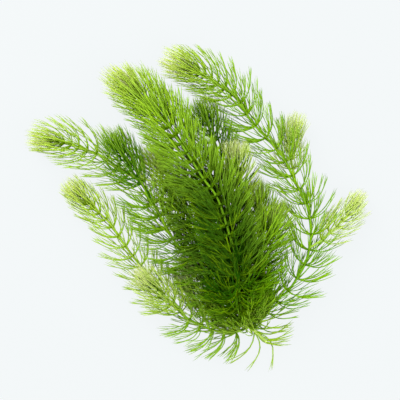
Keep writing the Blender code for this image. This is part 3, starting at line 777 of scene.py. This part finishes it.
def plantTintGroup():
    # Green from base to tip, mixed from grown to young and then to the bud's, and darkened by painted
    # shade. It has soft dark blotches, more in leaves of a high tone, and fine pale flecks. Leaves of a
    # low tone are lighter, at random, which over the painted shade also stands in for strands that
    # catch the light.
    tree = bpy.data.node_groups.new("plantTint", "ShaderNodeTree")
    for name in ("Grown Base", "Grown Tip", "Young Base", "Young Tip", "Bud", "Shaded"):
        addSocket(tree, name, "INPUT", "NodeSocketColor", (0.1, 0.3, 0.01, 1))
    for name in ("Along", "Youth", "In Bud", "Tone", "Shade"):
        addSocket(tree, name, "INPUT", "NodeSocketFloat", 0.0)
    addSocket(tree, "Colour", "OUTPUT", "NodeSocketColor")
    addSocket(tree, "Roughness", "OUTPUT", "NodeSocketFloat")
    addSocket(tree, "Height", "OUTPUT", "NodeSocketFloat")
    given, made = tree.nodes.new("NodeGroupInput"), tree.nodes.new("NodeGroupOutput")
    get = given.outputs
    grown = mixColours(tree, get["Along"], get["Grown Base"], get["Grown Tip"])
    young = mixColours(tree, get["Along"], get["Young Base"], get["Young Tip"])
    colour = mixColours(tree, get["Youth"], grown, young)
    towardsEnd = remap(tree, get["Along"], *skin["budAlong"])
    inBud = mixColours(tree, towardsEnd, get["Young Base"], get["Bud"])
    colour = mixColours(tree, get["In Bud"], colour, inBud)
    colour = mixColours(tree, get["Shade"], colour, get["Shaded"])
    blotch, fleck = noise(tree, skin["blotches"]), noise(tree, skin["flecks"])
    darker = reckon(tree, "MULTIPLY", get["Tone"], blotch)
    darker = reckon(tree, "MULTIPLY", darker, skin["blotchDark"])
    colour = mixColours(tree, darker, colour, get["Shaded"])
    paler = reckon(tree, "MULTIPLY", remap(tree, fleck, *skin["fleckRange"]), skin["fleckPale"])
    colour = mixColours(tree, paler, colour, get["Young Base"])
    # random lighter leaves, which over the painted shade also stand for lit strands
    lighter = remap(tree, get["Tone"], 0, skin["lightTones"], skin["lighter"], 0.0)
    colour = mixColours(tree, lighter, colour, get["Young Base"])
    tree.links.new(colour, made.inputs["Colour"])
    tree.links.new(remap(tree, blotch, 0, 1, *skin["roughness"]), made.inputs["Roughness"])
    tree.links.new(fleck, made.inputs["Height"])
    return tree


tintGroup = plantTintGroup()

# the greens of each colour slot, in linear light. Shaded is the colour of the painted shade.
greens = {
    "mid_green": {
        "Grown Base": (0.148, 0.368, 0.001), "Grown Tip": (0.168, 0.360, 0.002),
        "Young Base": (0.318, 0.512, 0.001), "Young Tip": (0.610, 0.660, 0.150),
        "Bud": (0.690, 0.705, 0.280), "Shaded": (0.0002, 0.064, 0.0001),
    },
    "deep_green": {
        "Grown Base": (0.044, 0.188, 0.001), "Grown Tip": (0.106, 0.258, 0.002),
        "Young Base": (0.056, 0.215, 0.001), "Young Tip": (0.330, 0.460, 0.040),
        "Bud": (0.130, 0.325, 0.004), "Shaded": (0.0002, 0.051, 0.0001),
    },
    "young_green": {
        "Grown Base": (0.262, 0.466, 0.004), "Grown Tip": (0.312, 0.482, 0.014),
        "Young Base": (0.420, 0.578, 0.030), "Young Tip": (0.670, 0.680, 0.300),
        "Bud": (0.690, 0.690, 0.370), "Shaded": (0.002, 0.102, 0.0002),
    },
}


def readAttribute(tree, name):
    node = tree.nodes.new("ShaderNodeAttribute")
    node.attribute_name = name
    return node.outputs["Fac"]


def newMaterial(name, slotName, values, colourAfter=None):
    # the tint group feeding a Principled shader, with the fine bump. Values gives the group's inputs
    # and colourAfter changes its colour.
    material = bpy.data.materials.new(name)
    material.use_nodes = True
    tree = material.node_tree
    shader = tree.nodes["Principled BSDF"]
    tint = tree.nodes.new("ShaderNodeGroup")
    tint.node_tree = tintGroup
    for socket, colour in greens[slotName].items():
        tint.inputs[socket].default_value = (*colour, 1)
    for socket, value in values(tree).items():
        connect(tree, value, tint.inputs[socket])
    colour = tint.outputs["Colour"]
    if colourAfter:
        colour = colourAfter(tree, colour)
    bump = tree.nodes.new("ShaderNodeBump")
    bump.inputs["Strength"].default_value = skin["bump"]
    bump.inputs["Distance"].default_value = skin["bumpDistance"]
    tree.links.new(tint.outputs["Height"], bump.inputs["Height"])
    tree.links.new(bump.outputs["Normal"], shader.inputs["Normal"])
    tree.links.new(colour, shader.inputs["Base Color"])
    tree.links.new(tint.outputs["Roughness"], shader.inputs["Roughness"])
    shader.inputs["Specular IOR Level"].default_value = skin["gloss"]
    return material, tree, shader, colour


leafLook = {
    "through": 0.45,  # share of the light that comes through from behind
    "throughTint": (0.85, 1.0, 0.35, 1),  # that light is greener than what scatters off the leaf
    "youngLit": 0.8,  # share of its shade that a young leaf is without
}


def leafMaterial(slotName):
    # a thin leaf: part of the light scatters off it, and part comes through from behind. Its shade is
    # shade (1 - youngLit youth), or the shade of the bud's core where that is more.
    def values(tree):
        along, youth = readAttribute(tree, "along"), readAttribute(tree, "youth")
        unlit = reckon(tree, "SUBTRACT", 1.0, reckon(tree, "MULTIPLY", youth, leafLook["youngLit"]))
        shade = reckon(tree, "MULTIPLY", readAttribute(tree, "shade"), unlit)
        atBase = remap(tree, along, *bud["coreAlong"], bud["coreShade"], 0.0)
        core = reckon(tree, "MULTIPLY", readAttribute(tree, "core"), atBase)
        return {
            "Along": along,
            "Youth": youth,
            "In Bud": readAttribute(tree, "bud"),
            "Tone": readAttribute(tree, "tone"),
            "Shade": reckon(tree, "MAXIMUM", shade, core),
        }

    material, tree, shader, colour = newMaterial("leaf_" + slotName, slotName, values)
    through = tree.nodes.new("ShaderNodeBsdfTranslucent")
    tree.links.new(multiplyColours(tree, colour, leafLook["throughTint"]), through.inputs["Color"])
    mix = tree.nodes.new("ShaderNodeMixShader")
    mix.inputs["Fac"].default_value = leafLook["through"]
    tree.links.new(shader.outputs["BSDF"], mix.inputs[1])
    tree.links.new(through.outputs["BSDF"], mix.inputs[2])
    tree.links.new(mix.outputs["Shader"], tree.nodes["Material Output"].inputs["Surface"])
    return material


stemLook = {
    "along": (0.25, 0.4),  # from the base green to the tip green, between the knots and at them
    "tone": 0.4,
    # painted shade that dims the stem
    "shade": (0.55, 0.5),  # outside the heart and in it
    "pith": (0.45, 0.53, 0.17, 1),
}


def stemMaterial(slotName):
    # green skin, nearer the tip green at the knots, darkened by a painted shade, with pale pith
    # where the stem is cut
    def values(tree):
        return {
            "Along": remap(tree, readAttribute(tree, "knot"), 0, 1, *stemLook["along"]),
            "Youth": readAttribute(tree, "youth"),
            "Tone": stemLook["tone"],
            "Shade": remap(tree, readAttribute(tree, "shade"), 0, 1, *stemLook["shade"]),
        }

    def pith(tree, colour):
        return mixColours(tree, readAttribute(tree, "cut"), colour, stemLook["pith"])

    return newMaterial("stem_" + slotName, slotName, values, pith)[0]


leafMaterials = {name: leafMaterial(name) for name in greens}
stemMaterials = {name: stemMaterial(name) for name in greens}
print("materials made")


def addPiece(piece, node, material):
    piece.data.materials.append(material)
    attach(piece, "root")
    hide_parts(node)


def dressShoot(shoot, shades, chance):
    # for each CAD node a stem piece and a leaves piece; two nodes of one shoot meet half way
    # between their nearest whorls. A leaf's youth is tipPale exp(-distance from the tip / youngReach).
    line, fromTip, slotName = shoot["line"], shoot["fromTip"], shoot["slot"]
    alongs = fromTip[::-1]
    whorls = [leaves["whorls"] for leaves in shoot["leaves"]]
    cuts = [0, *((a.max() + b.min()) // 2 for a, b in zip(whorls, whorls[1:])), len(line) - 1]
    parts = zip(shoot["nodes"], shoot["leaves"], shoot["pale"], shoot["bow"], shades, cuts, cuts[1:])
    for node, leaves, pale, bow, shade, first, last in parts:
        part = slice(first, last + 1)
        stem = growStem(
            node + "_axis", line[part], alongs[part], fromTip[part], alongs[leaves["whorls"]], pale,
            isCut=node == "main_stem",
        )
        addPiece(stem, node, stemMaterials[slotName])
        at = leaves["at"]
        youth = shoot["tipPale"] * np.exp(-fromTip[at] / leaf["youngReach"])
        foliage = growLeaves(
            node + "_leaves", leaves, shoot["tangent"][at], shoot["girth"], bow, youth, pale, shade,
            chance,
        )
        addPiece(foliage, node, leafMaterials[slotName])
        print(node, len(at), "leaves")


chance = np.random.default_rng(plant["seed"])
for shoot in shoots.values():
    gatherLeaves(shoot, chance)
everyLeaf = [leaves for shoot in shoots.values() for leaves in shoot["leaves"]]
roots = np.vstack([leaves["root"] for leaves in everyLeaf])
tips = np.vstack([leaves["tip"] for leaves in everyLeaf])
shares = np.array([0.0, 0.5, 1.0])  # each leaf has a shade at its base, middle and end
stations = roots[:, None] + shares[None, :, None] * (tips - roots)[:, None]
shade = leafShade(stations.reshape(-1, 3)).reshape(-1, len(shares))
print("shade, least to most:", np.percentile(shade, [5, 25, 50, 75, 95]).round(2))
counts = [len(leaves["root"]) for leaves in everyLeaf]
shades = iter(np.split(shade, np.cumsum(counts)[:-1]))
for shoot in shoots.values():
    dressShoot(shoot, [next(shades) for node in shoot["nodes"]], chance)

# The light table. Lengths are in metres, and it lies lower than the plant by the drop.
table = {
    "size": 3.0, "drop": 0.0002, "roughness": 0.9,
    "colour": (0.905, 0.939, 0.947), "ownLight": 0.925, "albedo": 0.02,
}


def makeTable():
    half, low = table["size"] / 2, -table["drop"]
    mesh = bpy.data.meshes.new("table")
    corners = [(-half, -half, low), (half, -half, low), (half, half, low), (-half, half, low)]
    mesh.from_pydata(corners, [], [(0, 1, 2, 3)])
    floor = bpy.data.objects.new("table", mesh)
    bpy.context.scene.collection.objects.link(floor)
    material = bpy.data.materials.new("table")
    material.use_nodes = True
    shader = material.node_tree.nodes["Principled BSDF"]
    shader.inputs["Base Color"].default_value = (*(table["albedo"] * c for c in table["colour"]), 1)
    shader.inputs["Roughness"].default_value = table["roughness"]
    shader.inputs["Specular IOR Level"].default_value = 0.0
    shader.inputs["Emission Color"].default_value = (*table["colour"], 1)
    shader.inputs["Emission Strength"].default_value = table["ownLight"]
    mesh.materials.append(material)


# soft lamps that face the plant, in metres and watts
lamps = {
    "key": {"place": (-0.5, 0.6, 0.9), "size": 0.8, "watts": 27},
    "fill": {"place": (0.7, -0.4, 0.8), "size": 0.9, "watts": 12},
}


def makeLamp(name, lamp):
    light = bpy.data.lights.new(name, "AREA")
    light.shape, light.size, light.energy = "DISK", lamp["size"], lamp["watts"]
    holder = bpy.data.objects.new(name, light)
    bpy.context.scene.collection.objects.link(holder)
    holder.location = lamp["place"]
    holder.rotation_euler = (-holder.location).to_track_quat("-Z", "Y").to_euler()


makeTable()
for name, lamp in lamps.items():
    makeLamp(name, lamp)

# even light from all round
room = {"colour": (0.97, 0.985, 1, 1), "strength": 1.9}
world = bpy.data.worlds.new("softRoom")
world.use_nodes = True
background = world.node_tree.nodes["Background"]
background.inputs["Color"].default_value = room["colour"]
background.inputs["Strength"].default_value = room["strength"]
bpy.context.scene.world = world
bpy.context.scene.view_settings.view_transform = "Standard"

# The camera looks straight down. The middle and the foot are places in the photograph, in pixels.
camera = {
    "lens": 150.0, "sensor": 36.0,  # millimetres
    "clip": (0.05, 10),  # metres
    "fieldWidth": 0.272, "fieldHeight": 0.015,  # what the picture spans, at this height, in metres
    "middle": (200, 200), "foot": (254, 331), "pixel": 0.00068,  # a pixel in metres
}


def makeCamera():
    data = bpy.data.cameras.new("above")
    data.lens, data.sensor_width = camera["lens"], camera["sensor"]
    data.clip_start, data.clip_end = camera["clip"]
    holder = bpy.data.objects.new("above", data)
    bpy.context.scene.collection.objects.link(holder)
    right = (camera["middle"][0] - camera["foot"][0]) * camera["pixel"]
    up = (camera["foot"][1] - camera["middle"][1]) * camera["pixel"]
    height = camera["fieldWidth"] * camera["lens"] / camera["sensor"] + camera["fieldHeight"]
    holder.location = (plant["foot"][0] * mm + right, plant["foot"][1] * mm + up, height)
    bpy.context.scene.camera = holder


makeCamera()
print("table, lamps and camera made")
